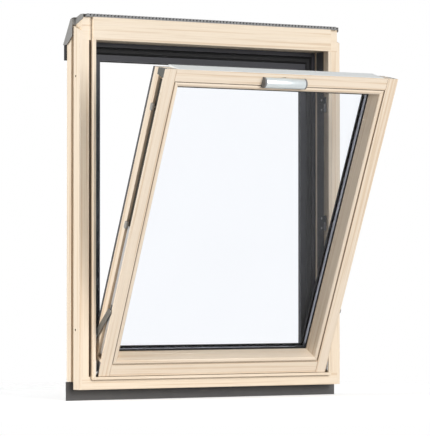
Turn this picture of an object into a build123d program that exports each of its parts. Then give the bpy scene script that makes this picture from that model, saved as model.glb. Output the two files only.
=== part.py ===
"""Bottom-hung timber window element, shown tilted open into the room.

The frame stands upright with the room at -Y and the outside at +Y. The origin is the
middle of the sill's lower room-side edge. Millimetres, +Z up.
"""

import os
from math import cos, radians, sin, tan

from build123d import *

os.makedirs("parts", exist_ok=True)

# Frame timber
FRAME_WIDTH = 780.0
FRAME_HEIGHT = 939.0
JAMB_WIDTH = 42.0
JAMB_DEPTH = 68.0
LIP_WIDTH = 8.0
LIP_PROUD = 11.0
LIP_ROUND = 1.2
QUIRK_WIDTH = 7.0
QUIRK_DEPTH = 11.0
CHEEK = 8.0
CHEEK_DROP = 34.0
CHEEK_SLOPE = 22.0
HEAD_HEIGHT = 58.0
SILL_TOP = 32.0
SILL_LIP_HEIGHT = 7.0
SILL_CHANNEL = 6.0
SIDE_GROOVE_AT = 32.0
SIDE_GROOVE_WIDTH = 13.0
SIDE_GROOVE_DEPTH = 7.0
FOOT_CUT = 19.0
FIXING_RADIUS = 3.0
FIXING_DEPTH_AT = 21.0
FIXING_LOW = 150.0
FIXING_PITCH = 640.0
FIXING_COUNT = 2
OVERRUN = 20.0

# Lining rails, stops and weather seals inside the frame
RAIL_AT = 13.0
RAIL_WIDTH = 34.0
RAIL_THICKNESS = 2.0
STOP_WIDTH = 46.0
STOP_DEPTH = 13.0
STOP_WALL = 2.0
STOP_CHANNEL_AT = 11.0
STOP_CHANNEL_WIDTH = 20.0
STOP_CHANNEL_DEPTH = 6.0
SEAL_BASE = 4.0
SEAL_FIN = 3.0
SEAL_CLEARANCE = 1.0

# Sheet metal over and under the frame
SHEET = 1.5
HOOD_FRONT = 5.0
HOOD_LIFT = 5.7
HOOD_CREST = 8.0
HOOD_FALL = 17.5
HOOD_JOG = 34.0
HOOD_KNEE = 41.6
HOOD_SLOPE = 57.5
HOOD_TAIL = 81.0
HOOD_OVERHANG = 2.5
BAND_NOSE_DROP = 4.0
BAND_JOG_DROP = 18.0
BAND_REAR_DROP = 47.0
BAND_TAIL = 19.0
APRON_HEIGHT = 39.0
APRON_DEPTH = 12.0
RIB_PITCH = 10.0
RIB_WIDTH = 6.0
RIB_HEIGHT = 8.0
RIB_BASE = 2.5
RIB_DEPTH = 6.0
RIB_END = 5.0
FLASHING_OVERHANG = 13.0
FLASHING_SET = 15.0
FLASHING_NOTCH = 20.0
FLASHING_DROP = 29.0
FLASHING_REACH = 42.0
FLASHING_FALL = 10.0
FLASHING_DRIP = 12.0

# Sash timber, measured on the closed sash
SASH_GAP = 9.0
SASH_FOOT_GAP = 5.0
SASH_HEAD_GAP = 16.0
SASH_INSET = 1.0
SASH_WOOD = 53.0
SASH_FLAT = 31.0
SASH_QUIRK = 3.0
SASH_QUIRK_DEPTH = 3.5
SASH_BEAD = 10.0
BEAD_DROP = 1.8
SASH_SPLAY = 10.0
GLASS_SEAT = 34.0
REBATE_WALL = 39.0
TOP_SLOPE = 14.0
JOINT_LINE = 1.0
JOINT_DEPTH = 1.2
OPEN_ANGLE = 24.6

# Glazing and outer covers
PANE = 4.0
CAVITY = 12.0
PANE_EDGE_GAP = 2.0
INNER_GASKET = 2.0
GASKET_SHOWS = 4.0
SPACER_WIDTH = 8.0
COVER_DEPTH = 9.0
COVER_WALL = 2.0

# Pivot hinges and stays in the side gap
HINGE_UP = 6.0
HINGE_IN = 11.0
HINGE_PIN = 3.5
HINGE_BUSH = 5.0
HINGE_BUSH_LENGTH = 16.0
HINGE_COLLAR = 4.5
STAY_BOSS = 7.0
LEAF = 2.5
LEAF_WIDTH = 16.0
LEAF_FOOT = 6.0
LEAF_HEIGHT = 38.0
RUNNING_FIT = 0.05
WORKING_GAP = 1.0
STAY_REACH = 93.0
STAY_THICKNESS = 2.3
STAY_PLAY = 0.4
STAY_END = 9.0
STAY_TIP = 8.0
RIVET = 3.0
RIVET_HEAD = 5.0
RIVET_CAP = 0.8
STAY_BRACKET_HEIGHT = 42.0
STAY_PIN = 2.5
STAY_PIN_LENGTH = 6.0
SLOT_END_PLAY = 1.5
TRACK_LOW = 52.0
TRACK_LENGTH = 350.0
TRACK_WIDTH = 10.0
TRACK_WALL = 1.5
TRACK_ROUND_SHARE = 0.4

# Lock gear: rods in grooves, cams, keepers and corner drives
GROOVE_AT = 6.0
GROOVE_WIDTH = 22.0
GROOVE_DEPTH = 9.3
TOP_GROOVE_AT = 16.0
TOP_GROOVE_WIDTH = 10.0
CAM_IN = 21.0
ROD_WIDTH = 9.4
ROD_THICKNESS = 3.0
ROD_SUNK = 6.0
ROD_TOP_GAP = 34.0
ROD_STROKE = 18.0
CAM_RADIUS = 4.5
CAM_NECK = 2.5
CAM_LENGTH = 5.5
CAM_HEIGHT = 20.0
CAM_OFF = 0.5
CAM_DROP = 106.0
ROD_TAIL = 20.0
KEEPER_WALL = 2.0
KEEPER_LIP = 5.0
KEEPER_HEIGHT = 40.0
KEEPER_WIDTH = 28.0
KEEPER_LIP_HEIGHT = 22.0
FACEPLATE_AT = 4.0
FACEPLATE_WIDTH = 44.0
FACEPLATE = 3.0
FACEPLATE_SCREW_SHARES = (-0.9, -0.35, 0.35, 0.9)
CORNER_LEG = 40.0
CORNER_DROP = 26.0
CORNER_FRONT = 4.0
CORNER_WIDTH = 32.0
TOP_ROD_INNER = 70.0
CASE_WIDTH = 110.0
CASE_AT = 16.0
CASE_DEPTH = 18.0
CASE_HEIGHT = 16.0

# Handle on the top rail
GRIP_LENGTH = 114.0
GRIP_HEIGHT = 27.0
GRIP_PROUD = 16.0
GRIP_TOP = 9.0
GRIP_OFF = 2.0
GRIP_WALL = 2.2
GRIP_HOLLOW = 9.0
SPINDLE = 2.6
SPINDLE_PROUD = 8.0
SPINDLE_DOWN = 4.6
SPINDLE_SEAT = 3.0
BRACKET_WIDTH = 4.0
BRACKET_EDGE = 0.6
GRIP_END_GAP = 0.5
CRANK_WIDTH = 6.0
CRANK_HEIGHT = 6.0
CRANK_REACH = 13.0
CRANK_PLAY = 2.0

# Countersunk screws of the hardware
SCREW_HEAD = 3.4
SCREW_HEAD_DEPTH = 1.5
SCREW_SHANK = 1.6
SCREW_LENGTH = 14.0
FRAME_SCREW_LENGTH = 9.0
SCREW_PLAY = 0.15
SCREW_EDGE = 7.0

# Places worked out from the sizes above
half = FRAME_WIDTH / 2
jamb_in = half - JAMB_WIDTH
lip_out = jamb_in + LIP_WIDTH
lip_face = -LIP_PROUD
head_base = FRAME_HEIGHT - HEAD_HEIGHT
head_half = half - CHEEK
stop_face = JAMB_DEPTH - STOP_DEPTH
sash_half = jamb_in - SASH_GAP
sash_low = SILL_TOP + SASH_FOOT_GAP
sash_high = head_base - SASH_HEAD_GAP
sash_front = lip_face + SASH_INSET
sash_back = sash_front + SASH_WOOD
sash_outside = sash_back + COVER_DEPTH
sight_line = SASH_FLAT + SASH_QUIRK + SASH_BEAD
splay_end = sight_line + SASH_SPLAY
hinge_y = sash_front + HINGE_IN
hinge_z = sash_low + HINGE_UP
stay_z = hinge_z + STAY_REACH
track_low = hinge_z + TRACK_LOW
track_high = track_low + TRACK_LENGTH
cheek_top = FRAME_HEIGHT - CHEEK_DROP
fixing_heights = [FIXING_LOW + FIXING_PITCH * n for n in range(FIXING_COUNT)]

# Rest poses: the sash tilted into the room, and each stay turned by twice that angle
STAY_ANGLE = OPEN_ANGLE + OPEN_ANGLE
sash_pose = Location((0, hinge_y, hinge_z), (OPEN_ANGLE, 0, 0)) * Location((0, -hinge_y, -hinge_z))
stay_pose = Location((0, hinge_y, stay_z), (STAY_ANGLE, 0, 0)) * Location((0, -hinge_y, -stay_z))
frame_pose = Location()


def keep(piece, name, pose):
    """Set a finished piece in its rest pose, name it and write its file."""
    placed = piece.moved(pose)
    placed.label = name
    export_step(placed, f"parts/{name}.step")


def keep_pair(piece, name, pose):
    """Write a right-hand piece and its mirror image on the left."""
    keep(piece, f"right_{name}", pose)
    keep(piece.mirror(Plane.YZ), f"left_{name}", pose)


def block(low, high, mode=Mode.ADD):
    """Box between two opposite corners."""
    corner = Vector(*low)
    span = Vector(*high) - corner
    with Locations(corner):
        Box(span.X, span.Y, span.Z, align=(Align.MIN, Align.MIN, Align.MIN), mode=mode)


def edge_plane(side, half_width, low, high):
    """Section plane half way along one edge of an upright rectangle: x runs inwards, y to the outside."""
    middle = (low + high) / 2
    inward, run, origin = {
        "right": ((-1, 0, 0), (0, 0, -1), (half_width, 0, middle)),
        "left": ((1, 0, 0), (0, 0, 1), (-half_width, 0, middle)),
        "top": ((0, 0, -1), (1, 0, 0), (0, 0, high)),
        "bottom": ((0, 0, 1), (-1, 0, 0), (0, 0, low)),
    }[side]
    return Plane(origin=origin, x_dir=inward, z_dir=run)


def half_run(side, half_width, low, high):
    """Half the length of the edge that edge_plane stands on."""
    return half_width if side in ("top", "bottom") else (high - low) / 2


def mitred_bar(side, half_width, low, high, points):
    """Bar along one edge of a rectangle, with both ends of its section cut at 45 degrees."""
    plane = edge_plane(side, half_width, low, high)
    reach = half_run(side, half_width, low, high)
    with BuildPart() as bar:
        with BuildSketch(plane):
            for outline, mode in points:
                with BuildLine():
                    Polyline(*outline, close=True)
                make_face(mode=mode)
        extrude(amount=reach, both=True)
        mitre(plane, reach)
    return bar.part


def mitre(plane, reach):
    """Cut both ends of the bar being built at 45 degrees through the corners of its rectangle."""
    for sign in (1, -1):
        corner = plane.origin + plane.z_dir * (sign * reach)
        split(bisect_by=Plane(origin=corner, z_dir=plane.z_dir * -sign - plane.x_dir), keep=Keep.TOP)


def rectangle(x_low, x_high, y_low, y_high):
    """Corner points of a rectangle in a section."""
    return [(x_low, y_low), (x_high, y_low), (x_high, y_high), (x_low, y_high)]


def side_screw(x_head, y, z, inward, length):
    """Screw along X with its head flush at x_head, driven the way inward points."""
    plane = Plane(origin=(x_head, y, z), z_dir=(inward, 0, 0))
    screw_at(plane, length, 0, Mode.ADD)


def side_screw_hole(x_head, y, z, inward, length):
    """Clearance for the screw that side_screw makes at the same place."""
    plane = Plane(origin=(x_head, y, z), z_dir=(inward, 0, 0))
    screw_at(plane, length, SCREW_PLAY, Mode.SUBTRACT)


def screw_at(plane, length, play, mode):
    """Countersunk screw, or its hole, along a plane's normal."""
    on_face = (Align.CENTER, Align.CENTER, Align.MIN)
    with Locations(plane):
        Cylinder(SCREW_SHANK + play, length + play, align=on_face, mode=mode)
        Cone(SCREW_HEAD + play, SCREW_SHANK + play, SCREW_HEAD_DEPTH + play, align=on_face, mode=mode)


# Screw places, shared by the screws, the plates and the timber behind them
leaf_screws = [hinge_z + LEAF_HEIGHT - SCREW_EDGE - LEAF_FOOT, hinge_z + LEAF_HEIGHT / 2 - LEAF_FOOT]
bracket_step = STAY_BRACKET_HEIGHT / 2 - SCREW_EDGE
bracket_screws = [stay_z - bracket_step, stay_z + bracket_step]
cam_depth = sash_front + CAM_IN
keeper_front = cam_depth - CAM_RADIUS - WORKING_GAP - KEEPER_LIP
keeper_screw_y = keeper_front + KEEPER_WIDTH - SCREW_EDGE
cam_places = [track_high, sash_high - CAM_DROP]
keeper_places = [place - ROD_STROKE for place in cam_places]
keeper_step = KEEPER_HEIGHT / 2 - SCREW_EDGE
keeper_screws = [place + step for place in keeper_places for step in (-keeper_step, keeper_step)]
leaf_face = jamb_in - LEAF
keeper_face = jamb_in - KEEPER_WALL
frame_screws = [(leaf_face, hinge_y, z) for z in leaf_screws + bracket_screws]
frame_screws += [(keeper_face, keeper_screw_y, z) for z in keeper_screws]
track_screws = [track_low + SCREW_EDGE, track_high - SCREW_EDGE]
sash_screws = [(hinge_y, z) for z in leaf_screws + track_screws]


def hood_line(y):
    """Height of the hood's underside at a depth: level, then a gentle fall, then steep."""
    gentle = max(0, min(y, HOOD_KNEE) - HOOD_CREST) * tan(radians(HOOD_FALL))
    steep = max(0, y - HOOD_KNEE) * tan(radians(HOOD_SLOPE))
    return FRAME_HEIGHT + HOOD_LIFT - gentle - steep


# Jambs: lipped room edge, quirk beside the lip, flashing groove and lining rebate
with BuildPart() as jamb:
    with BuildSketch(Plane.XY):
        with BuildLine():
            Polyline(
                (jamb_in, lip_face),
                (lip_out, lip_face),
                (lip_out, QUIRK_DEPTH),
                (lip_out + QUIRK_WIDTH, QUIRK_DEPTH),
                (lip_out + QUIRK_WIDTH, 0),
                (half, 0),
                (half, SIDE_GROOVE_AT),
                (half - SIDE_GROOVE_DEPTH, SIDE_GROOVE_AT),
                (half - SIDE_GROOVE_DEPTH, SIDE_GROOVE_AT + SIDE_GROOVE_WIDTH),
                (half, SIDE_GROOVE_AT + SIDE_GROOVE_WIDTH),
                (half, JAMB_DEPTH),
                (jamb_in, JAMB_DEPTH),
                (jamb_in, RAIL_AT + RAIL_WIDTH),
                (jamb_in + RAIL_THICKNESS, RAIL_AT + RAIL_WIDTH),
                (jamb_in + RAIL_THICKNESS, RAIL_AT),
                (jamb_in, RAIL_AT),
                close=True,
            )
        make_face()
    extrude(amount=FRAME_HEIGHT)
    fillet(jamb.edges().filter_by(Axis.Z).group_by(Axis.Y)[0], LIP_ROUND)
    block((jamb_in, lip_face, head_base), (head_half, JAMB_DEPTH, FRAME_HEIGHT), Mode.SUBTRACT)
    block((jamb_in, lip_face, 0), (head_half, JAMB_DEPTH, SILL_TOP), Mode.SUBTRACT)
    block((jamb_in, SIDE_GROOVE_AT, 0), (half, JAMB_DEPTH, FOOT_CUT), Mode.SUBTRACT)
    with BuildSketch(Plane.YZ.offset(head_half)):
        with BuildLine():
            cheek_reach = hood_line(HOOD_KNEE) - cheek_top + HOOD_KNEE * tan(radians(HOOD_SLOPE))
            meet = cheek_reach / (tan(radians(HOOD_SLOPE)) + tan(radians(CHEEK_SLOPE)))
            Polyline(
                (0, cheek_top),
                (meet, cheek_top + meet * tan(radians(CHEEK_SLOPE))),
                (JAMB_DEPTH, hood_line(JAMB_DEPTH)),
                (JAMB_DEPTH, FRAME_HEIGHT + OVERRUN),
                (0, FRAME_HEIGHT + OVERRUN),
                close=True,
            )
        make_face()
    extrude(amount=CHEEK, mode=Mode.SUBTRACT)
    with BuildSketch(Plane.YZ.offset(jamb_in)):
        with Locations(*[(FIXING_DEPTH_AT, z) for z in fixing_heights]):
            Circle(FIXING_RADIUS)
    extrude(amount=JAMB_WIDTH, mode=Mode.SUBTRACT)
    for x, y, z in frame_screws:
        side_screw_hole(x, y, z, 1, FRAME_SCREW_LENGTH)
keep_pair(jamb.part, "jamb", frame_pose)

# Head: lipped front board with its top and back bevelled to the hood's falls
head_break = HOOD_CREST + HOOD_LIFT / tan(radians(HOOD_FALL))
with BuildPart() as head:
    with BuildSketch(Plane.YZ):
        with BuildLine():
            Polyline(
                (0, head_base),
                (JAMB_DEPTH, head_base),
                (JAMB_DEPTH, hood_line(JAMB_DEPTH)),
                (HOOD_KNEE, hood_line(HOOD_KNEE)),
                (head_break, FRAME_HEIGHT),
                (0, FRAME_HEIGHT),
                close=True,
            )
        make_face()
    extrude(amount=head_half, both=True)
    block((-lip_out, lip_face, head_base), (lip_out, 0, FRAME_HEIGHT))
    fillet(head.edges().filter_by(Axis.X).group_by(Axis.Y)[0], LIP_ROUND)
keep(head.part, "head", frame_pose)

# Sill: lipped room edge, drained channel under the sash and a raised back over the flashing
with BuildPart() as sill:
    with BuildSketch(Plane.YZ):
        with BuildLine():
            Polyline(
                (0, 0),
                (SIDE_GROOVE_AT, 0),
                (SIDE_GROOVE_AT, FOOT_CUT),
                (JAMB_DEPTH, FOOT_CUT),
                (JAMB_DEPTH, SILL_TOP),
                (0, SILL_TOP),
                close=True,
            )
        make_face()
    extrude(amount=head_half, both=True)
    block((-lip_out, lip_face, SILL_TOP - SILL_LIP_HEIGHT), (lip_out, 0, SILL_TOP))
    fillet(sill.edges().filter_by(Axis.X).group_by(Axis.Y)[0], LIP_ROUND)
    channel_front = lip_face + LIP_WIDTH
    channel_back = stop_face - LIP_WIDTH
    sill_floor = SILL_TOP - SILL_CHANNEL
    block((-jamb_in, channel_front, sill_floor), (jamb_in, channel_back, SILL_TOP), Mode.SUBTRACT)
keep(sill.part, "sill", frame_pose)

# Keeper rails: grey lining strips let into the jambs
with BuildPart() as keeper_rail:
    with BuildSketch(Plane.YZ.offset(jamb_in)):
        with BuildLine():
            Polyline(*rectangle(RAIL_AT, RAIL_AT + RAIL_WIDTH, SILL_TOP, head_base), close=True)
        make_face()
        with Locations(*[(FIXING_DEPTH_AT, z) for z in fixing_heights]):
            Circle(FIXING_RADIUS, mode=Mode.SUBTRACT)
    extrude(amount=RAIL_THICKNESS)
    for x, y, z in frame_screws:
        side_screw_hole(x, y, z, 1, FRAME_SCREW_LENGTH)
keep_pair(keeper_rail.part, "keeper_rail", frame_pose)

# Stops: hollow dark profiles with a seal channel, mitred at the corners
channel_end = STOP_CHANNEL_AT + STOP_CHANNEL_WIDTH
channel_floor = stop_face + STOP_CHANNEL_DEPTH
cell_front = stop_face + STOP_WALL
cell_back = JAMB_DEPTH - STOP_WALL
stop_points = [
    (
        [
            (0, stop_face),
            (STOP_CHANNEL_AT, stop_face),
            (STOP_CHANNEL_AT, channel_floor),
            (channel_end, channel_floor),
            (channel_end, stop_face),
            (STOP_WIDTH, stop_face),
            (STOP_WIDTH, JAMB_DEPTH),
            (0, JAMB_DEPTH),
        ],
        Mode.ADD,
    ),
    (
        rectangle(STOP_WALL, STOP_CHANNEL_AT - STOP_WALL, cell_front, cell_back),
        Mode.SUBTRACT,
    ),
    (
        rectangle(channel_end + STOP_WALL, STOP_WIDTH - STOP_WALL, cell_front, cell_back),
        Mode.SUBTRACT,
    ),
]
# Weather seals: black strips in the stops' channels with two fins towards the sash
seal_tip = sash_outside + SEAL_CLEARANCE
seal_points = [
    (
        [
            (STOP_CHANNEL_AT, channel_floor),
            (STOP_CHANNEL_AT, channel_floor - SEAL_BASE),
            (STOP_CHANNEL_AT + SEAL_FIN, seal_tip),
            (STOP_CHANNEL_AT + SEAL_FIN + SEAL_FIN, channel_floor - SEAL_BASE),
            (channel_end - SEAL_FIN - SEAL_FIN, channel_floor - SEAL_BASE),
            (channel_end - SEAL_FIN, seal_tip),
            (channel_end, channel_floor - SEAL_BASE),
            (channel_end, channel_floor),
        ],
        Mode.ADD,
    ),
]
stop_names = {"top": "head", "bottom": "sill", "left": "left", "right": "right"}
for side, name in stop_names.items():
    keep(mitred_bar(side, jamb_in, SILL_TOP, head_base, stop_points), f"{name}_stop", frame_pose)
    keep(mitred_bar(side, jamb_in, SILL_TOP, head_base, seal_points), f"{name}_seal", frame_pose)

# Hood: folded sheet over the head with end bands that step out over the jambs
hood_half = half + HOOD_OVERHANG
front_half = head_half + SHEET
nose_z = hood_line(-HOOD_FRONT)
tail_z = hood_line(HOOD_TAIL)
steep_rise = SHEET / cos(radians(HOOD_SLOPE))
gentle_rise = SHEET / cos(radians(HOOD_FALL))
crest_out = HOOD_CREST + SHEET * tan(radians(HOOD_FALL / 2))
fold_y = (steep_rise - gentle_rise) / (tan(radians(HOOD_SLOPE)) - tan(radians(HOOD_FALL)))
fold_z = hood_line(HOOD_KNEE) + steep_rise - fold_y * tan(radians(HOOD_SLOPE))
tail_out = HOOD_TAIL + SHEET / sin(radians(HOOD_SLOPE))
jog_z = hood_line(HOOD_JOG) + gentle_rise
jog_back = HOOD_JOG + SHEET
back_points = [(HOOD_KNEE + fold_y, fold_z), (tail_out, tail_z)]
nose_points = [(-HOOD_FRONT, nose_z + SHEET), (crest_out, nose_z + SHEET)]
sheet_points = [
    *nose_points,
    *back_points,
    (HOOD_TAIL, tail_z),
    (HOOD_KNEE, hood_line(HOOD_KNEE)),
    (HOOD_CREST, nose_z),
    (-HOOD_FRONT, nose_z),
]
front_band_points = [
    *nose_points,
    (HOOD_JOG, jog_z),
    (HOOD_JOG, FRAME_HEIGHT - BAND_JOG_DROP),
    (-HOOD_FRONT, FRAME_HEIGHT - BAND_NOSE_DROP),
]
rear_band_points = [
    (HOOD_JOG, jog_z),
    *back_points,
    (HOOD_TAIL - BAND_TAIL, tail_z),
    (HOOD_JOG, FRAME_HEIGHT - BAND_REAR_DROP),
]
with BuildPart() as hood:
    with BuildSketch(Plane.YZ):
        with BuildLine():
            Polyline(*sheet_points, close=True)
        make_face()
    extrude(amount=hood_half, both=True)
    for end in (front_half, -hood_half):
        low_corner = (end, -HOOD_FRONT, FRAME_HEIGHT)
        high_corner = (end + hood_half - front_half, HOOD_JOG, nose_z + SHEET)
        block(low_corner, high_corner, Mode.SUBTRACT)
    for sign in (1, -1):
        for reach, points in ((head_half, front_band_points), (hood_half, rear_band_points)):
            with BuildSketch(Plane.YZ.offset(sign * reach)):
                with BuildLine():
                    Polyline(*points, close=True)
                make_face()
            extrude(amount=sign * SHEET)
    for start in (head_half, -hood_half):
        low_corner = (start, HOOD_JOG, FRAME_HEIGHT - BAND_JOG_DROP)
        block(low_corner, (start + hood_half - head_half, jog_back, hood_line(jog_back)))
keep(hood.part, "hood", frame_pose)

# Apron: black sealing strip that hangs behind the frame under the hood's tail
with BuildPart() as apron:
    block((-hood_half, JAMB_DEPTH, tail_z - APRON_HEIGHT), (hood_half, JAMB_DEPTH + APRON_DEPTH, tail_z))
keep(apron.part, "hood_apron", frame_pose)

# Ribbed strip: toothed sealing profile along the head's top room edge
rib_half = head_half - RIB_END
rib_count = int((rib_half + rib_half) / RIB_PITCH)
with BuildPart() as ribbed_strip:
    with BuildSketch(Plane.XZ.offset(-lip_face)):
        with Locations((0, FRAME_HEIGHT)):
            Rectangle(rib_half + rib_half, RIB_BASE, align=(Align.CENTER, Align.MIN))
        with Locations((0, FRAME_HEIGHT + RIB_HEIGHT / 2)):
            with GridLocations(RIB_PITCH, RIB_PITCH, rib_count, 1):
                Rectangle(RIB_WIDTH, RIB_HEIGHT)
    extrude(amount=-RIB_DEPTH)
keep(ribbed_strip.part, "ribbed_strip", frame_pose)

# Flashing: folded sheet under the frame with a sloping outside apron, notched at its ends, and a drip edge
flashing_half = half + FLASHING_OVERHANG
flashing_front = SIDE_GROOVE_AT + FLASHING_SET
flashing_end = JAMB_DEPTH + FLASHING_REACH
with BuildPart() as flashing:
    with BuildSketch(Plane.YZ):
        with BuildLine():
            Polyline(
                (flashing_front, -FLASHING_DROP),
                (flashing_front, FOOT_CUT),
                (JAMB_DEPTH, FOOT_CUT),
                (flashing_end, FOOT_CUT - FLASHING_FALL),
                (flashing_end, FOOT_CUT - FLASHING_FALL - FLASHING_DRIP),
                (flashing_end - SHEET, FOOT_CUT - FLASHING_FALL - FLASHING_DRIP),
                (flashing_end - SHEET, FOOT_CUT - FLASHING_FALL - SHEET),
                (JAMB_DEPTH, FOOT_CUT - SHEET),
                (flashing_front + SHEET, FOOT_CUT - SHEET),
                (flashing_front + SHEET, -FLASHING_DROP),
                close=True,
            )
        make_face()
    extrude(amount=half - FLASHING_NOTCH, both=True)
    block(
        (-flashing_half, flashing_front, -FLASHING_DROP),
        (flashing_half, flashing_front + SHEET, FOOT_CUT),
    )
keep(flashing.part, "bottom_flashing", frame_pose)

# Hinge brackets: plates on the jambs with a shoulder and a pivot pin pointing at the sash
shoulder_face = sash_half + WORKING_GAP
with BuildPart() as hinge_bracket:
    block(
        (leaf_face, hinge_y - LEAF_WIDTH / 2, hinge_z - LEAF_FOOT),
        (jamb_in, hinge_y + LEAF_WIDTH / 2, hinge_z - LEAF_FOOT + LEAF_HEIGHT),
    )
    fillet(hinge_bracket.edges().filter_by(Axis.X).group_by(Axis.Z)[-1], LEAF)
    with BuildSketch(Plane.YZ.offset(leaf_face)):
        with Locations((hinge_y, hinge_z)):
            Circle(HINGE_COLLAR)
    extrude(amount=shoulder_face - leaf_face)
    with BuildSketch(Plane.YZ.offset(shoulder_face)):
        with Locations((hinge_y, hinge_z)):
            Circle(HINGE_PIN)
    extrude(amount=-(WORKING_GAP + HINGE_BUSH_LENGTH))
    for z in leaf_screws:
        side_screw_hole(leaf_face, hinge_y, z, 1, FRAME_SCREW_LENGTH)
keep_pair(hinge_bracket.part, "hinge_bracket", frame_pose)

# Stay brackets: plates on the jambs with the rivet that each stay turns on
stay_in = sash_half + WORKING_GAP + RIVET_CAP + WORKING_GAP / 2
stay_out = stay_in + STAY_THICKNESS
rivet_face = stay_out + STAY_PLAY / 2
with BuildPart() as stay_bracket:
    block(
        (leaf_face, hinge_y - LEAF_WIDTH / 2, stay_z - STAY_BRACKET_HEIGHT / 2),
        (jamb_in, hinge_y + LEAF_WIDTH / 2, stay_z + STAY_BRACKET_HEIGHT / 2),
    )
    fillet(stay_bracket.edges().filter_by(Axis.X), LEAF)
    with BuildSketch(Plane.YZ.offset(rivet_face)):
        with Locations((hinge_y, stay_z)):
            Circle(STAY_BOSS)
    extrude(until=Until.NEXT)
    with BuildSketch(Plane.YZ.offset(rivet_face)):
        with Locations((hinge_y, stay_z)):
            Circle(RIVET)
    extrude(amount=stay_in - STAY_PLAY / 2 - rivet_face)
    with BuildSketch(Plane.YZ.offset(stay_in - STAY_PLAY / 2)):
        with Locations((hinge_y, stay_z)):
            Circle(RIVET_HEAD)
    extrude(amount=-RIVET_CAP)
    for z in bracket_screws:
        side_screw_hole(leaf_face, hinge_y, z, 1, FRAME_SCREW_LENGTH)
keep_pair(stay_bracket.part, "stay_bracket", frame_pose)

# Stays: flat arms from the jamb's rivet to a pin that runs in the sash's track
pin_z = stay_z + STAY_REACH
with BuildPart() as stay:
    with BuildSketch(Plane.YZ.offset(stay_in)):
        with Locations((hinge_y, stay_z)):
            Circle(STAY_END)
        with Locations((hinge_y, pin_z)):
            Circle(STAY_TIP)
        make_hull()
        with Locations((hinge_y, stay_z)):
            Circle(RIVET + RUNNING_FIT, mode=Mode.SUBTRACT)
    extrude(amount=STAY_THICKNESS)
    with BuildSketch(Plane.YZ.offset(stay_in)):
        with Locations((hinge_y, pin_z)):
            Circle(STAY_PIN)
    extrude(amount=-(stay_in - sash_half + STAY_PIN_LENGTH))
keep_pair(stay.part, "stay", stay_pose)

# Keepers: hooked plates on the jambs that the cams slide behind
lip_tip = sash_half + WORKING_GAP
with BuildPart() as keepers:
    for place in keeper_places:
        block(
            (keeper_face, keeper_front, place - KEEPER_HEIGHT / 2),
            (jamb_in, keeper_front + KEEPER_WIDTH, place + KEEPER_HEIGHT / 2),
        )
        block(
            (lip_tip, keeper_front, place - KEEPER_HEIGHT / 2),
            (jamb_in, keeper_front + KEEPER_LIP, place - KEEPER_HEIGHT / 2 + KEEPER_LIP_HEIGHT),
        )
    fillet(keepers.edges().filter_by(Axis.X).group_by(Axis.Y)[-1], KEEPER_WALL)
    for z in keeper_screws:
        side_screw_hole(keeper_face, keeper_screw_y, z, 1, FRAME_SCREW_LENGTH)
keep_pair(keepers.part, "keepers", frame_pose)

# Frame screws: one group for all the plates on the jambs
with BuildPart() as frame_screw_set:
    for sign in (1, -1):
        for x, y, z in frame_screws:
            side_screw(sign * x, y, z, sign, FRAME_SCREW_LENGTH)
keep(frame_screw_set.part, "frame_screws", frame_pose)

# Sash timber: flats butted at the corners, beads and splays mitred
bead_start = SASH_FLAT + SASH_QUIRK
bead_face = sash_front + BEAD_DROP
seat_face = sash_front + GLASS_SEAT
quirk_floor = sash_front + SASH_QUIRK_DEPTH

# Sloping top of the closed sash: x along the rail, y down the slope, z out of the timber
slope = radians(TOP_SLOPE)
top_plane = Plane(origin=(0, sash_front, sash_high), x_dir=(1, 0, 0), z_dir=(0, sin(slope), cos(slope)))


def slope_top():
    """Trim what is being built to the sash's sloping top."""
    split(bisect_by=top_plane, keep=Keep.BOTTOM)


def top_block(low, high, mode=Mode.ADD):
    """Box between two corners measured on the sloping top."""
    with Locations(top_plane):
        block(low, high, mode)


def sash_member(side):
    """Stile or rail with its full moulded section."""
    plane = edge_plane(side, sash_half, sash_low, sash_high)
    reach = half_run(side, sash_half, sash_low, sash_high)
    flat_reach = reach - SASH_FLAT if side in ("top", "bottom") else reach
    with BuildPart() as member:
        with BuildSketch(plane):
            with BuildLine():
                Polyline((SASH_FLAT, quirk_floor), (bead_start, quirk_floor), (bead_start, bead_face))
                ThreePointArc(
                    (bead_start, bead_face),
                    ((bead_start + sight_line) / 2, sash_front),
                    (sight_line, bead_face),
                )
                Polyline(
                    (sight_line, bead_face),
                    (splay_end, seat_face),
                    (REBATE_WALL, seat_face),
                    (REBATE_WALL, sash_back),
                    (SASH_FLAT, sash_back),
                    (SASH_FLAT, quirk_floor),
                )
            make_face()
        extrude(amount=reach, both=True)
        mitre(plane, reach)
        with BuildSketch(plane):
            with BuildLine():
                Polyline(*rectangle(0, SASH_FLAT, sash_front, sash_back), close=True)
            make_face()
        extrude(amount=flat_reach, both=True)
    return member.part


groove_front = sash_front + GROOVE_AT
groove_back = groove_front + GROOVE_WIDTH
slot_half = STAY_PIN + STAY_PLAY
stay_span = STAY_REACH + STAY_REACH
slot_low = hinge_z + stay_span * cos(radians(OPEN_ANGLE)) - STAY_PIN - SLOT_END_PLAY
slot_high = hinge_z + stay_span + STAY_PIN + SLOT_END_PLAY
leaf_low = hinge_z - LEAF_FOOT
leaf_high = leaf_low + LEAF_HEIGHT
leaf_front = hinge_y - LEAF_WIDTH / 2
leaf_back = hinge_y + LEAF_WIDTH / 2
track_front = hinge_y - TRACK_WIDTH / 2
track_back = hinge_y + TRACK_WIDTH / 2
seat_x = sash_half - LEAF
groove_x = sash_half - GROOVE_DEPTH
groove_low = leaf_high + LEAF_FOOT
flat_x = sash_half - SASH_FLAT
line_x = flat_x + JOINT_LINE
line_back = sash_front + JOINT_DEPTH
top_groove_back = TOP_GROOVE_AT + TOP_GROOVE_WIDTH
corner_front = sash_front + CORNER_FRONT
corner_low = sash_high - CORNER_DROP
corner_back = corner_front + CORNER_WIDTH

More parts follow.
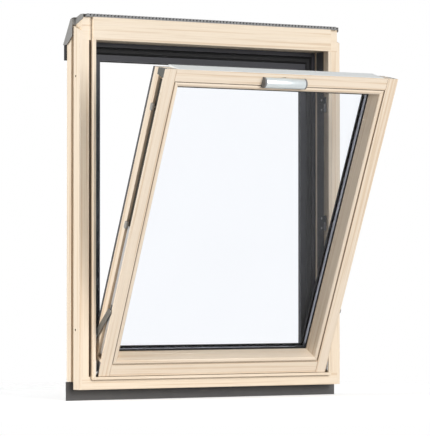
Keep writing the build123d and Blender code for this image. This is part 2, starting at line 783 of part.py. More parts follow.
with BuildPart() as stile:
    add(sash_member("right"))
    block((groove_x, groove_front, groove_low), (sash_half, groove_back, sash_high), Mode.SUBTRACT)
    top_block((flat_x, TOP_GROOVE_AT, -GROOVE_DEPTH), (sash_half, top_groove_back, 0), Mode.SUBTRACT)
    block((groove_x, corner_front, corner_low), (sash_half, corner_back, sash_high), Mode.SUBTRACT)
    block((seat_x, leaf_front, leaf_low), (sash_half, leaf_back, leaf_high), Mode.SUBTRACT)
    block((flat_x, sash_front, sash_high - SASH_FLAT), (line_x, line_back, sash_high), Mode.SUBTRACT)
    block((flat_x, sash_front, sash_low), (line_x, line_back, sash_low + SASH_FLAT), Mode.SUBTRACT)
    with BuildSketch(Plane.YZ.offset(sash_half)):
        with Locations((hinge_y, hinge_z)):
            Circle(HINGE_BUSH)
    extrude(amount=-(HINGE_BUSH_LENGTH + WORKING_GAP), mode=Mode.SUBTRACT)
    for y, z in sash_screws:
        side_screw_hole(sash_half, y, z, -1, SCREW_LENGTH)
    slope_top()
keep_pair(stile.part, "stile", sash_pose)

# Top rail: faceplate rebate, rod groove, lock pocket and the handle's slot
spindle_y = sash_front - SPINDLE_PROUD
spindle_z = sash_high - GRIP_TOP - SPINDLE_DOWN
case_half = CASE_WIDTH / 2
case_back = CASE_AT + CASE_DEPTH
case_low = -GROOVE_DEPTH - CASE_HEIGHT
plate_half = sash_half - CORNER_LEG
plate_back = FACEPLATE_AT + FACEPLATE_WIDTH
plate_screw_y = plate_back - SCREW_EDGE
plate_screws = [plate_half * share for share in FACEPLATE_SCREW_SHARES]
crank_half = CRANK_WIDTH / 2
crank_top = spindle_z + CRANK_HEIGHT / 2
crank_swing = CRANK_REACH + CRANK_PLAY


def plate_screw(x, play, mode):
    """Screw, or its hole, down through the top faceplate."""
    head_place = top_plane.from_local_coords(Vector(x, plate_screw_y, 0))
    screw_at(Plane(origin=head_place, z_dir=-top_plane.z_dir), SCREW_LENGTH, play, mode)


with BuildPart() as top_rail:
    add(sash_member("top"))
    slope_top()
    top_block((-flat_x, TOP_GROOVE_AT, -GROOVE_DEPTH), (flat_x, top_groove_back, 0), Mode.SUBTRACT)
    top_block((-plate_half, FACEPLATE_AT, -FACEPLATE), (plate_half, plate_back, 0), Mode.SUBTRACT)
    top_block((-case_half, CASE_AT, case_low), (case_half, case_back, -GROOVE_DEPTH), Mode.SUBTRACT)
    block(
        (-crank_half - CRANK_PLAY, sash_front, spindle_z - crank_swing),
        (crank_half + CRANK_PLAY, spindle_y + crank_swing, crank_top + CRANK_PLAY),
        Mode.SUBTRACT,
    )
    for x in plate_screws:
        plate_screw(x, SCREW_PLAY, Mode.SUBTRACT)
keep(top_rail.part, "top_rail", sash_pose)
keep(sash_member("bottom"), "bottom_rail", sash_pose)

# Glazing: two panes on a spacer, held between a room-side and an outside gasket
pane_edge = REBATE_WALL + PANE_EDGE_GAP
inner_face = seat_face + INNER_GASKET
cavity_face = inner_face + PANE
outer_face = cavity_face + CAVITY
outer_back = outer_face + PANE
cover_lip = sash_outside - COVER_WALL


def loop(outer_edge, inner_edge, y_low, y_high):
    """Flat ring inside the sash, between two insets from the sash's outer edge."""
    with BuildPart() as band:
        with BuildSketch(Plane.XZ.offset(-y_low)):
            for edge, mode in ((outer_edge, Mode.ADD), (inner_edge, Mode.SUBTRACT)):
                reach = sash_half - edge
                with Locations((0, sash_low + edge)):
                    Rectangle(
                        reach + reach,
                        sash_high - sash_low - edge - edge,
                        align=(Align.CENTER, Align.MIN),
                        mode=mode,
                    )
        extrude(amount=y_low - y_high)
    return band.part


def pane(y_low):
    """Glass sheet."""
    with BuildPart() as sheet:
        block(
            (pane_edge - sash_half, y_low, sash_low + pane_edge),
            (sash_half - pane_edge, y_low + PANE, sash_high - pane_edge),
        )
    return sheet.part


keep(pane(inner_face), "inner_pane", sash_pose)
keep(pane(outer_face), "outer_pane", sash_pose)
keep(loop(splay_end - SPACER_WIDTH, splay_end, cavity_face, outer_face), "spacer", sash_pose)
keep(loop(sight_line, splay_end + GASKET_SHOWS, seat_face, inner_face), "inner_gasket", sash_pose)
keep(loop(sight_line, splay_end + GASKET_SHOWS, outer_back, cover_lip), "outer_gasket", sash_pose)

# Outer covers: folded-edge aluminium profiles over the sash's weather side
cover_top = (sash_outside - sash_front) * tan(slope)


def cover_section(edge):
    """Cover's section with its outer wall at an inset from the sash's outer edge."""
    outline = [
        (edge, sash_back),
        (edge + COVER_WALL, sash_back),
        (edge + COVER_WALL, cover_lip),
        (REBATE_WALL - COVER_WALL, cover_lip),
        (REBATE_WALL - COVER_WALL, sash_back),
        (REBATE_WALL, sash_back),
        (REBATE_WALL, cover_lip),
        (splay_end, cover_lip),
        (splay_end, sash_outside),
        (edge, sash_outside),
    ]
    return [(outline, Mode.ADD)]


keep(mitred_bar("top", sash_half, sash_low, sash_high, cover_section(cover_top)), "top_cover", sash_pose)
keep(mitred_bar("bottom", sash_half, sash_low, sash_high, cover_section(0)), "bottom_cover", sash_pose)
with BuildPart() as side_cover:
    add(mitred_bar("right", sash_half, sash_low, sash_high, cover_section(0)))
    split(bisect_by=Plane(origin=(0, 0, sash_high - cover_top), z_dir=(0, 0, 1)), keep=Keep.BOTTOM)
keep_pair(side_cover.part, "cover", sash_pose)

# Hinge plates: let into the stiles, each with the bush that the pivot pin turns in
with BuildPart() as hinge_plate:
    block((seat_x, leaf_front, leaf_low), (sash_half, leaf_back, leaf_high))
    with BuildSketch(Plane.YZ.offset(sash_half)):
        with Locations((hinge_y, hinge_z)):
            Circle(HINGE_BUSH)
    extrude(amount=-HINGE_BUSH_LENGTH)
    with BuildSketch(Plane.YZ.offset(sash_half)):
        with Locations((hinge_y, hinge_z)):
            Circle(HINGE_PIN + RUNNING_FIT)
    extrude(amount=-HINGE_BUSH_LENGTH, mode=Mode.SUBTRACT)
    for z in leaf_screws:
        side_screw_hole(sash_half, hinge_y, z, -1, SCREW_LENGTH)
keep_pair(hinge_plate.part, "hinge_plate", sash_pose)

# Stay tracks: channels in the stiles' grooves with the slot that limits the tilt
with BuildPart() as track:
    block((seat_x, track_front, track_low), (sash_half, track_back, track_high))
    fillet(track.edges().filter_by(Axis.X), TRACK_WIDTH * TRACK_ROUND_SHARE)
    with BuildSketch(Plane.YZ.offset(sash_half)):
        with Locations((hinge_y, (slot_low + slot_high) / 2)):
            SlotOverall(slot_high - slot_low, slot_half + slot_half, rotation=90)
    extrude(amount=-LEAF, mode=Mode.SUBTRACT)
    for front in (track_front, track_back - TRACK_WALL):
        block(
            (groove_x, front, track_low + TRACK_WIDTH),
            (seat_x, front + TRACK_WALL, track_high - TRACK_WIDTH),
        )
    for z in track_screws:
        side_screw_hole(sash_half, hinge_y, z, -1, SCREW_LENGTH)
keep_pair(track.part, "stay_track", sash_pose)

# Lock gear on the sash: faceplate, corner drives and lock case
with BuildPart() as faceplate:
    top_block((-plate_half, FACEPLATE_AT, -FACEPLATE), (plate_half, plate_back, 0))
    for x in plate_screws:
        plate_screw(x, SCREW_PLAY, Mode.SUBTRACT)
keep(faceplate.part, "top_faceplate", sash_pose)

with BuildPart() as corner_drive:
    block((groove_x, corner_front, corner_low), (sash_half, corner_back, sash_high))
    slope_top()
    top_block((plate_half, TOP_GROOVE_AT, -FACEPLATE), (sash_half, top_groove_back, 0))
keep_pair(corner_drive.part, "corner_drive", sash_pose)

with BuildPart() as lock_case:
    top_block((-case_half, CASE_AT, case_low), (case_half, case_back, -GROOVE_DEPTH))
keep(lock_case.part, "lock_case", sash_pose)

# Rods and cams: flat bars in the grooves, each lock rod carrying its cams
rod_front = cam_depth - ROD_WIDTH / 2
rod_back = cam_depth + ROD_WIDTH / 2
rod_face = sash_half - ROD_SUNK
rod_low = cam_places[0] - ROD_TAIL
with BuildPart() as lock_rod:
    block((rod_face - ROD_THICKNESS, rod_front, rod_low), (rod_face, rod_back, sash_high - ROD_TOP_GAP))
keep_pair(lock_rod.part, "lock_rod", sash_pose)

with BuildPart() as cams:
    for place in cam_places:
        with BuildSketch(Plane.YZ.offset(rod_face)):
            with Locations((cam_depth, place)):
                Circle(CAM_NECK)
        extrude(amount=ROD_SUNK + CAM_OFF)
        with BuildSketch(Plane.YZ.offset(sash_half + CAM_OFF)):
            with Locations((cam_depth, place)):
                SlotOverall(CAM_HEIGHT, CAM_RADIUS + CAM_RADIUS, rotation=90)
        extrude(amount=CAM_LENGTH)
keep_pair(cams.part, "cams", sash_pose)

top_rod_end = plate_half - ROD_STROKE - ROD_SUNK
with BuildPart() as top_rod:
    rod_edge = TOP_GROOVE_AT + (TOP_GROOVE_WIDTH - ROD_WIDTH) / 2
    top_block(
        (TOP_ROD_INNER, rod_edge, -ROD_SUNK - ROD_THICKNESS),
        (top_rod_end, rod_edge + ROD_WIDTH, -ROD_SUNK),
    )
keep_pair(top_rod.part, "top_rod", sash_pose)

# Handle: half-round grip that turns on a spindle between two end brackets
grip_half = GRIP_LENGTH / 2
grip_back = sash_front - GRIP_OFF
grip_top = spindle_z + SPINDLE_DOWN
grip_low = grip_top - GRIP_HEIGHT
grip_mid = (grip_top + grip_low) / 2
grip_crown = grip_back - GRIP_PROUD
bracket_in = grip_half + GRIP_END_GAP

with BuildPart() as grip:
    with BuildSketch(Plane.YZ):
        with BuildLine():
            ThreePointArc((grip_back, grip_top), (grip_crown, grip_mid), (grip_back, grip_low))
            Line((grip_back, grip_low), (grip_back, grip_top))
        make_face()
        with Locations((spindle_y, spindle_z)):
            Circle(SPINDLE, mode=Mode.SUBTRACT)
    extrude(amount=grip_half, both=True)
    hollow_top = spindle_z - SPINDLE - GRIP_WALL - CRANK_HEIGHT / 2
    block(
        (GRIP_WALL - grip_half, grip_back - GRIP_HOLLOW, grip_low + GRIP_WALL + GRIP_WALL),
        (grip_half - GRIP_WALL, grip_back, hollow_top),
        Mode.SUBTRACT,
    )
keep(grip.part, "handle_grip", sash_pose)

with BuildPart() as spindle:
    with BuildSketch(Plane.YZ):
        with Locations((spindle_y, spindle_z)):
            Circle(SPINDLE)
    extrude(amount=bracket_in + SPINDLE_SEAT, both=True)
keep(spindle.part, "handle_spindle", sash_pose)

with BuildPart() as crank:
    block(
        (-crank_half, grip_back, spindle_z - CRANK_HEIGHT / 2),
        (crank_half, spindle_y + CRANK_REACH, crank_top),
    )
keep(crank.part, "handle_crank", sash_pose)

with BuildPart() as handle_bracket:
    with BuildSketch(Plane.YZ.offset(bracket_in)):
        with BuildLine():
            bracket_top = grip_top - BRACKET_EDGE
            bracket_low = grip_low + BRACKET_EDGE
            bracket_crown = grip_crown + BRACKET_EDGE
            ThreePointArc((sash_front, bracket_top), (bracket_crown, grip_mid), (sash_front, bracket_low))
            Line((sash_front, bracket_low), (sash_front, bracket_top))
        make_face()
    extrude(amount=BRACKET_WIDTH)
    with BuildSketch(Plane.YZ.offset(bracket_in)):
        with Locations((spindle_y, spindle_z)):
            Circle(SPINDLE + RUNNING_FIT)
    extrude(amount=SPINDLE_SEAT + GRIP_END_GAP, mode=Mode.SUBTRACT)
keep_pair(handle_bracket.part, "handle_bracket", sash_pose)

# Sash screws: one group for the hinge plates, stay tracks and faceplate
with BuildPart() as sash_screw_set:
    for sign in (1, -1):
        for y, z in sash_screws:
            side_screw(sign * sash_half, y, z, -sign, SCREW_LENGTH)
    for x in plate_screws:
        plate_screw(x, 0, Mode.ADD)
keep(sash_screw_set.part, "sash_screws", sash_pose)
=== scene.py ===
from math import cos, radians, sin

import bmesh
import bpy
from mathutils import Matrix, Vector


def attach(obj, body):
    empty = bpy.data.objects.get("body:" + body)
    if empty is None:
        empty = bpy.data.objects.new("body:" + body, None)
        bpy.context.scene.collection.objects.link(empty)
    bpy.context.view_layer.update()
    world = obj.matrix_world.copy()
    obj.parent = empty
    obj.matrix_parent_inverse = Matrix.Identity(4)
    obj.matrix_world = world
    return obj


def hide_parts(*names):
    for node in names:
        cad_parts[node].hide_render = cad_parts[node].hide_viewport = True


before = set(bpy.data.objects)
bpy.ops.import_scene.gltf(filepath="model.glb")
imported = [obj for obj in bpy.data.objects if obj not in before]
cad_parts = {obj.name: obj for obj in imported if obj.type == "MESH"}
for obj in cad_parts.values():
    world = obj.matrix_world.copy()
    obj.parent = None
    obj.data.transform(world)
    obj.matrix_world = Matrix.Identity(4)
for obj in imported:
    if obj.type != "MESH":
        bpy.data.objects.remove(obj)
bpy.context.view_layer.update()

# Frame timber: two jambs with the head and sill housed between them.
# Planed, clear-lacquered pine with straight grain along each piece, darkened with painted shade
# in its creases and quirks.
# The edges are eased by hand, so each one takes a thin light line.
WHITE = (1, 1, 1)
EVEN = (1, 1, 1)
FRAME_TONE = (0.945, 0.81, 0.645)
LATE_WOOD = (0.86, 0.79, 0.71)
EARLY_WOOD = (0.98, 0.97, 0.95)
HAIR_LINE = (0.88, 0.85, 0.81)
CLOUD_LINE = (0.97, 0.95, 0.93)
# Painted shade for the creases of each timber piece, and how far into a piece it reaches.
CREASE_PAINTED_SHADE = (0.26, 0.22, 0.18)
CREASE_SHADE_REACH = 0.012
ACROSS_GRAIN, ALONG_GRAIN = 52, 0.5
TIMBER_EASE = 0.0007


def new_finish(name):
    """Material with its node tree and main shader."""
    finish = bpy.data.materials.new(name)
    finish.use_nodes = True
    return finish, finish.node_tree, finish.node_tree.nodes["Principled BSDF"]


def add_node(tree, kind, settings=None, **sockets):
    """Node with its settings and unlinked sockets filled in."""
    made = tree.nodes.new(kind)
    for key, value in (settings or {}).items():
        setattr(made, key, value)
    for key, value in sockets.items():
        made.inputs[key.replace("_", " ")].default_value = value
    return made


def place(tree, scale, tilt=0.0):
    """Object coordinates set upright with a piece that leans by tilt, then stretched."""
    where = tree.nodes.new("ShaderNodeTexCoord")
    upright = add_node(tree, "ShaderNodeMapping", Rotation=(-tilt, 0, 0))
    tree.links.new(where.outputs["Object"], upright.inputs["Vector"])
    mapped = add_node(tree, "ShaderNodeMapping", Scale=scale)
    tree.links.new(upright.outputs["Vector"], mapped.inputs["Vector"])
    return mapped.outputs["Vector"]


def noise(tree, where, **sockets):
    """Noise value over a placed vector."""
    made = add_node(tree, "ShaderNodeTexNoise", **sockets)
    tree.links.new(where, made.inputs["Vector"])
    return made.outputs["Fac"]


def ramp(tree, fac, stops):
    """Colour ramp over a value; stops are (place, colour)."""
    made = tree.nodes.new("ShaderNodeValToRGB")
    points = made.color_ramp.elements
    while len(points) < len(stops):
        points.new(0.5)
    for point, (at, colour) in zip(points, stops):
        point.position = at
        point.color = (*colour, 1)
    tree.links.new(fac, made.inputs["Fac"])
    return made.outputs["Color"]


def darken(tree, share, colour, veil):
    """Colour multiplied by a veil, by a share of it."""
    made = add_node(tree, "ShaderNodeMix", {"data_type": "RGBA", "blend_type": "MULTIPLY"})
    made.inputs[0].default_value = share
    tree.links.new(colour, made.inputs[6])
    tree.links.new(veil, made.inputs[7])
    return made.outputs[2]


def sheen(tree, shader, value, low, high):
    """Roughness between low and high over a value."""
    made = add_node(tree, "ShaderNodeMapRange", To_Min=low, To_Max=high)
    tree.links.new(value, made.inputs["Value"])
    tree.links.new(made.outputs["Result"], shader.inputs["Roughness"])


def relief(tree, shader, height, strength, distance):
    """Bump from a height value."""
    made = add_node(tree, "ShaderNodeBump", Strength=strength, Distance=distance)
    tree.links.new(height, made.inputs["Height"])
    tree.links.new(made.outputs["Normal"], shader.inputs["Normal"])


def scaled(colour, *parts):
    """Colour with each channel times its part, the last part for all that remain."""
    parts = parts + (parts[-1],) * (len(colour) - len(parts))
    return tuple(channel * part for channel, part in zip(colour, parts))


def pine(name, run, tilt, tone):
    """Lacquered pine with its grain along run, on a piece that leans by tilt, with painted shade
    in its own creases.
    """
    finish, tree, shader = new_finish(name)
    stretch = {"X": (ALONG_GRAIN, ACROSS_GRAIN, ACROSS_GRAIN),
               "Z": (ACROSS_GRAIN, ACROSS_GRAIN, ALONG_GRAIN)}[run]
    ring = noise(tree, place(tree, stretch, tilt),
                 Scale=3.2, Detail=3.0, Roughness=0.5, Distortion=0.2)
    fibre = noise(tree, place(tree, stretch, tilt), Scale=16.0, Detail=3.0, Roughness=0.7)
    cloud = noise(tree, place(tree, EVEN, tilt), Scale=2.2, Detail=2.0)
    late, early = scaled(tone, *LATE_WOOD), scaled(tone, *EARLY_WOOD)
    grain = ramp(tree, ring, [(0.37, late), (0.46, early), (0.60, tone)])
    hair = ramp(tree, fibre, [(0.32, HAIR_LINE), (0.52, WHITE)])
    soft = ramp(tree, cloud, [(0.25, CLOUD_LINE), (0.75, WHITE)])
    # Painted shade: an occlusion test within the piece darkens its creases, quirks and recesses,
    # where shade falls.
    crease_occlusion = add_node(tree, "ShaderNodeAmbientOcclusion",
                    {"only_local": True, "samples": 8}, Distance=CREASE_SHADE_REACH)
    painted_crease_shade = ramp(tree, crease_occlusion.outputs["AO"], [(0.30, CREASE_PAINTED_SHADE), (0.86, WHITE)])
    wood = darken(tree, 0.85, grain, hair)
    wood = darken(tree, 0.7, wood, soft)
    wood = darken(tree, 0.9, wood, painted_crease_shade)
    tree.links.new(wood, shader.inputs["Base Color"])
    sheen(tree, shader, fibre, 0.38, 0.52)
    relief(tree, shader, fibre, 0.12, 0.0006)
    return finish


def dress(finish, *names):
    """Give CAD nodes their finish."""
    for name in names:
        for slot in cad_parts[name].material_slots:
            slot.material = finish


def ease(width, *names):
    """Round the sharp edges of CAD nodes."""
    for name in names:
        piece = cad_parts[name]
        weld = piece.modifiers.new("Joined", "WELD")
        weld.merge_threshold = 0.00001
        eased = piece.modifiers.new("Eased", "BEVEL")
        eased.width = width
        eased.segments = 2
        eased.limit_method = "ANGLE"
        eased.angle_limit = radians(35)
        eased.harden_normals = True


def pair(*names):
    """Left and right node of each name."""
    return [f"{side}_{name}" for name in names for side in ("left", "right")]


dress(pine("jamb_pine", "Z", 0, FRAME_TONE), *pair("jamb"))
dress(pine("cross_pine", "X", 0, FRAME_TONE), "head", "sill")
ease(TIMBER_EASE, *pair("jamb"), "head", "sill")

# Keeper rails: thin grey strips let into the jambs.
# Coated steel that lines the gap beside the sash.
# The coating has a faint mottle and a satin sheen.
LINING_GREY = (0.11, 0.11, 0.115)
COAT_SPECULAR = 0.3
COAT_SPREAD = 0.06


def coated(name, colour, rough, mottle=0.06):
    """Coated metal or moulded plastic with a faint mottle."""
    finish, tree, shader = new_finish(name)
    cloud = noise(tree, place(tree, EVEN), Scale=35.0, Detail=4.0, Roughness=0.6)
    grit = noise(tree, place(tree, EVEN), Scale=900.0, Detail=2.0)
    low = scaled(colour, 1 - mottle)
    high = tuple(min(1.0, part) for part in scaled(colour, 1 + mottle))
    tree.links.new(ramp(tree, cloud, [(0.3, low), (0.7, high)]), shader.inputs["Base Color"])
    sheen(tree, shader, cloud, rough - COAT_SPREAD, rough + COAT_SPREAD)
    shader.inputs["Specular IOR Level"].default_value = COAT_SPECULAR
    relief(tree, shader, grit, 0.08, 0.0003)
    return finish


dress(coated("lining_grey", LINING_GREY, 0.45), *pair("keeper_rail"))

# Stops and weather seals: dark hollow profiles mitred round the opening.
# Coated aluminium with a black rubber strip pressed into the channel.
# The sash closes against the strip's two fins.
STOP_DARK = (0.031, 0.031, 0.038)
RUBBER_BLACK = (0.012, 0.012, 0.013)
dress(coated("stop_dark", STOP_DARK, 0.45), "head_stop", "sill_stop", *pair("stop"))
black_rubber = coated("seal_black", RUBBER_BLACK, 0.7, 0.2)
dress(black_rubber, "head_seal", "sill_seal", *pair("seal"))

# Hood, apron and ribbed strip: weather covers over the head.
# Coated sheet in straight folds, a rubber apron under its tail and a toothed strip.
HOOD_GREY = (0.28, 0.274, 0.264)
STRIP_GREY = (0.30, 0.30, 0.30)
dress(coated("hood_grey", HOOD_GREY, 0.55), "hood")
dress(black_rubber, "hood_apron")
dress(coated("strip_grey", STRIP_GREY, 0.6), "ribbed_strip")

# Flashing: folded sheet under the frame, coated dark.
# It stands down below the sill at the front and falls away to the outside.
FLASHING_DARK = (0.100, 0.097, 0.096)
dress(coated("flashing_dark", FLASHING_DARK, 0.55), "bottom_flashing")

# Hinges, stays and keepers: plated pressings on the jambs.
# Bright zinc on the brackets and screws, dark steel on the stay arms.
# Fine brushing along the plates, countersunk screws.
TILT = radians(24.6)
ZINC = (0.56, 0.56, 0.56)
ARM_STEEL = (0.22, 0.22, 0.21)
KEEPER_GREY = (0.09, 0.09, 0.095)
BRUSH_LINE = (0.88, 0.88, 0.88)
ACROSS_BRUSH, ALONG_BRUSH = 900, 30
PLATE_METAL = 0.85
PLATE_SPREAD = 0.08


def plated(name, colour, rough, run):
    """Zinc or anodised metal brushed along run."""
    finish, tree, shader = new_finish(name)
    stretch = {"X": (ALONG_BRUSH, ACROSS_BRUSH, ACROSS_BRUSH),
               "Z": (ACROSS_BRUSH, ACROSS_BRUSH, ALONG_BRUSH)}[run]
    brush = noise(tree, place(tree, stretch, TILT), Scale=1.0, Detail=4.0, Roughness=0.65)
    cloud = noise(tree, place(tree, EVEN), Scale=60.0, Detail=3.0)
    tone = ramp(tree, cloud, [(0.3, scaled(colour, 0.9)), (0.7, colour)])
    line = ramp(tree, brush, [(0.3, BRUSH_LINE), (0.7, WHITE)])
    tree.links.new(darken(tree, 0.8, tone, line), shader.inputs["Base Color"])
    sheen(tree, shader, brush, rough - PLATE_SPREAD, rough + PLATE_SPREAD)
    shader.inputs["Metallic"].default_value = PLATE_METAL
    relief(tree, shader, brush, 0.06, 0.0002)
    return finish


zinc = plated("zinc_plate", ZINC, 0.42, "Z")
dress(zinc, *pair("hinge_bracket", "stay_bracket"), "frame_screws")
dress(plated("dark_steel", ARM_STEEL, 0.45, "Z"), *pair("stay"))
dress(coated("keeper_grey", KEEPER_GREY, 0.45), *pair("keepers"))

# Sash timber: stiles and rails with a quirk, a bead and a splay to the glass.
# The flats are butted and the mouldings mitred at the corners.
# The same lacquered pine as the frame, its grain turned with the leaning sash.
SASH_TONE = (0.935, 0.805, 0.655)
dress(pine("stile_pine", "Z", TILT, SASH_TONE), *pair("stile"))
dress(pine("rail_pine", "X", TILT, SASH_TONE), "top_rail", "bottom_rail")
ease(TIMBER_EASE, *pair("stile"), "top_rail", "bottom_rail")

# Glazing: two clear panes on a metal spacer between rubber gaskets.
# The glass is almost colourless and mirrors more at a shallow angle.
PANE_TINT = (0.972, 0.982, 1.0)
PANE_IOR = 1.2
SPACER_GREY = (0.46, 0.47, 0.52)


def clear_glass(name, tint):
    """Clear float glass with a faint film on it."""
    finish, tree, shader = new_finish(name)
    shader.inputs["Transmission Weight"].default_value = 1.0
    shader.inputs["IOR"].default_value = PANE_IOR
    shader.inputs["Roughness"].default_value = 0.0
    film = noise(tree, place(tree, EVEN), Scale=4.0, Detail=2.0)
    clean = ramp(tree, film, [(0.3, scaled(tint, 0.995)), (0.7, tint)])
    tree.links.new(clean, shader.inputs["Base Color"])
    return finish


dress(clear_glass("clear_pane", PANE_TINT), "inner_pane", "outer_pane")
dress(plated("spacer_metal", SPACER_GREY, 0.4, "Z"), "spacer")
dress(black_rubber, "inner_gasket", "outer_gasket")

# Outer covers: dark coated aluminium over the sash's weather side.
# Mitred at the corners and clipped to the timber.
COVER_DARK = (0.075, 0.075, 0.08)
COVER_EASE = 0.0004
covers = ["top_cover", "bottom_cover", *pair("cover")]
dress(coated("cover_dark", COVER_DARK, 0.4), *covers)
ease(COVER_EASE, *covers)

# Sash hardware: hinge plates, stay tracks, corner drives, lock case, rods and cams.
# Plated steel and drawn bars let into the edges of the sash.
CAM_ZINC = (0.34, 0.33, 0.31)
# Painted shade: the lock rods are coloured near black for the shade of the groove they lie in.
ROD_PAINTED_SHADE = (0.075, 0.070, 0.060)
CORNER_GREY = (0.11, 0.11, 0.10)
BAR_ZINC = (0.60, 0.60, 0.60)
dress(zinc, *pair("hinge_plate", "stay_track"), "lock_case", "sash_screws")
dress(plated("cam_zinc", CAM_ZINC, 0.45, "Z"), *pair("cams"))
dress(plated("lock_rod_painted_shade", ROD_PAINTED_SHADE, 0.5, "Z"), *pair("lock_rod"))
dress(coated("corner_grey", CORNER_GREY, 0.5), *pair("corner_drive"))
zinc_bar = plated("zinc_bar", BAR_ZINC, 0.42, "X")
dress(zinc_bar, *pair("top_rod"))

# Top cap: pale strip clipped over the faceplate's screws along the sash's top.
# Moulded in one length, thicker to the weather side so that water runs off.
CAP_PALE = (0.84, 0.87, 0.87)
HINGE_AXIS = Vector((0, 0.001, 0.043))
SASH_EDGE = Vector((0, -0.010, 0.865))
TOP_FALL = radians(14)
CAP_HALF, CAP_EASE = 0.299, 0.0003
CAP_FRONT, CAP_BED, CAP_BACK = 0.004, 0.048, 0.061
CAP_ROOT, CAP_REST, CAP_LOW, CAP_HIGH = -0.003, 0.0002, 0.0006, 0.0056
cap_corners = [(CAP_FRONT, CAP_ROOT), (CAP_BED, CAP_ROOT), (CAP_BED, CAP_REST),
               (CAP_BACK, CAP_REST), (CAP_BACK, CAP_HIGH), (CAP_FRONT, CAP_LOW)]
down_slope = Vector((0, cos(TOP_FALL), -sin(TOP_FALL)))
off_slope = Vector((0, sin(TOP_FALL), cos(TOP_FALL)))
cap_start = SASH_EDGE + Vector((-CAP_HALF, 0, 0))
cap_mesh = bmesh.new()
cap_ring = [cap_mesh.verts.new(cap_start + down_slope * along + off_slope * out)
            for along, out in cap_corners]
grown = bmesh.ops.extrude_face_region(cap_mesh, geom=[cap_mesh.faces.new(cap_ring)])
far_end = [part for part in grown["geom"] if isinstance(part, bmesh.types.BMVert)]
bmesh.ops.translate(cap_mesh, verts=far_end, vec=(2 * CAP_HALF, 0, 0))
bmesh.ops.recalc_face_normals(cap_mesh, faces=cap_mesh.faces)
bmesh.ops.bevel(cap_mesh, geom=cap_mesh.edges[:], offset=CAP_EASE, offset_type="OFFSET",
                affect="EDGES", segments=2, profile=0.5, material=-1)
lean = Matrix.Rotation(TILT, 3, "X")
bmesh.ops.rotate(cap_mesh, cent=HINGE_AXIS, matrix=lean, verts=cap_mesh.verts)
cap_shape = bpy.data.meshes.new("top_cap")
cap_mesh.to_mesh(cap_shape)
cap_mesh.free()
top_cap = bpy.data.objects.new("top_cap", cap_shape)
bpy.context.collection.objects.link(top_cap)
cap_shape.materials.append(coated("cap_pale", CAP_PALE, 0.45, 0.03))
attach(top_cap, "sash")
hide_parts("top_faceplate")

# Handle: half-round grip on a spindle between two end brackets.
# Extruded aluminium, satin anodised, with moulded grey ends.
GRIP_SILVER = (0.72, 0.77, 0.78)
END_GREY = (0.21, 0.21, 0.215)
HANDLE_EASE = 0.0005
dress(plated("grip_silver", GRIP_SILVER, 0.35, "X"), "handle_grip")
dress(zinc_bar, "handle_spindle", "handle_crank")
dress(coated("end_grey", END_GREY, 0.5), *pair("handle_bracket"))
ease(HANDLE_EASE, "handle_grip", *pair("handle_bracket"))

# Studio: pale floor under the flashing, white surround, soft lamps.
# The camera stands where the photograph was taken from.
FLOOR_Z, FLOOR_SIZE = -0.029, 40
FLOOR_GREY = (0.75, 0.75, 0.75, 1)
FLOOR_LIFT = 0.55
FADE_FROM, FADE_TO = 0.5, 1.3
FILL_LIGHT = 0.33
LAMP_AIM = (0, 0, 0.45)
VIEW_TURN, VIEW_RISE = radians(30.57), radians(1.235)


def reckon(tree, operation, first, second):
    """Math node over a socket and another socket or a number."""
    made = add_node(tree, "ShaderNodeMath", {"operation": operation})
    tree.links.new(first, made.inputs[0])
    if isinstance(second, float):
        made.inputs[1].default_value = second
    else:
        tree.links.new(second, made.inputs[1])
    return made.outputs["Value"]


def shows_backdrop(tree, path):
    """1 for rays from the camera, also by way of gloss or glass, and 0 for lighting rays."""
    seen = reckon(tree, "MAXIMUM", path.outputs["Is Camera Ray"], path.outputs["Is Glossy Ray"])
    seen = reckon(tree, "MAXIMUM", seen, path.outputs["Is Transmission Ray"])
    straight = reckon(tree, "LESS_THAN", path.outputs["Diffuse Depth"], 0.5)
    return reckon(tree, "MULTIPLY", seen, straight)


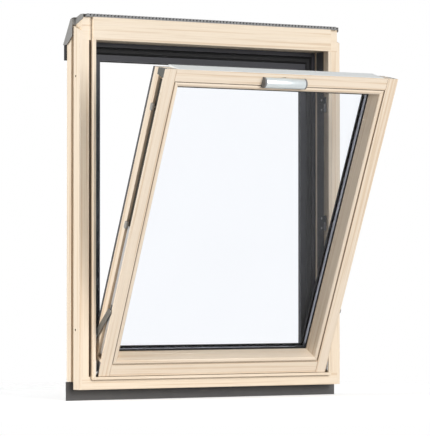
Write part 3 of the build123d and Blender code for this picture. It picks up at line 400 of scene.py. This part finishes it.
def white_floor(name):
    """Floor that stays pale, keeps a soft shadow and fades into the surround."""
    finish, tree, shader = new_finish(name)
    shader.inputs["Base Color"].default_value = FLOOR_GREY
    shader.inputs["Roughness"].default_value = 0.9
    shader.inputs["Emission Color"].default_value = (*WHITE, 1)
    shown = shows_backdrop(tree, tree.nodes.new("ShaderNodeLightPath"))
    lift = reckon(tree, "MULTIPLY", shown, FLOOR_LIFT)
    tree.links.new(lift, shader.inputs["Emission Strength"])
    where = tree.nodes.new("ShaderNodeTexCoord")
    reach = add_node(tree, "ShaderNodeVectorMath", {"operation": "LENGTH"})
    tree.links.new(where.outputs["Object"], reach.inputs[0])
    fade = add_node(tree, "ShaderNodeMapRange",
                    From_Min=FADE_FROM, From_Max=FADE_TO, To_Min=1.0, To_Max=0.0)
    tree.links.new(reach.outputs["Value"], fade.inputs["Value"])
    tree.links.new(fade.outputs["Result"], shader.inputs["Alpha"])
    return finish


def lamp(name, at, size, power):
    """Soft square lamp turned to the object."""
    light = bpy.data.lights.new(name, "AREA")
    light.size = size
    light.energy = power
    made = bpy.data.objects.new(name, light)
    made.location = at
    made.rotation_euler = (Vector(LAMP_AIM) - Vector(at)).to_track_quat("-Z", "Y").to_euler()
    bpy.context.collection.objects.link(made)


bpy.ops.mesh.primitive_plane_add(size=FLOOR_SIZE, location=(0, 0, FLOOR_Z))
floor = bpy.context.object
floor.name = "floor"
floor.data.materials.append(white_floor("pale_floor"))

world = bpy.data.worlds.new("surround")
bpy.context.scene.world = world
world.use_nodes = True
sky = world.node_tree
backdrop = sky.nodes["Background"]
path = sky.nodes.new("ShaderNodeLightPath")
unglazed = reckon(sky, "LESS_THAN", path.outputs["Transmission Depth"], 0.5)
fill = reckon(sky, "MULTIPLY", unglazed, FILL_LIGHT)
level = reckon(sky, "MAXIMUM", shows_backdrop(sky, path), fill)
sky.links.new(level, backdrop.inputs["Strength"])
backdrop.inputs["Color"].default_value = (*WHITE, 1)

lamp("key_lamp", (0.6, -5.1, 1.6), 2.4, 191)
lamp("side_lamp", (-4.6, 0.16, 1.3), 0.6, 125)

lens = bpy.data.cameras.new("photo_camera")
lens.sensor_width = 36
lens.lens = 229.03
lens.clip_end = 100
camera = bpy.data.objects.new("photo_camera", lens)
camera.location = (-3.640, -6.172, 0.2815)
look = Vector((sin(VIEW_TURN) * cos(VIEW_RISE), cos(VIEW_TURN) * cos(VIEW_RISE), sin(VIEW_RISE)))
camera.rotation_euler = look.to_track_quat("-Z", "Y").to_euler()
bpy.context.collection.objects.link(camera)
bpy.context.scene.camera = camera
bpy.context.scene.view_settings.view_transform = "Standard"
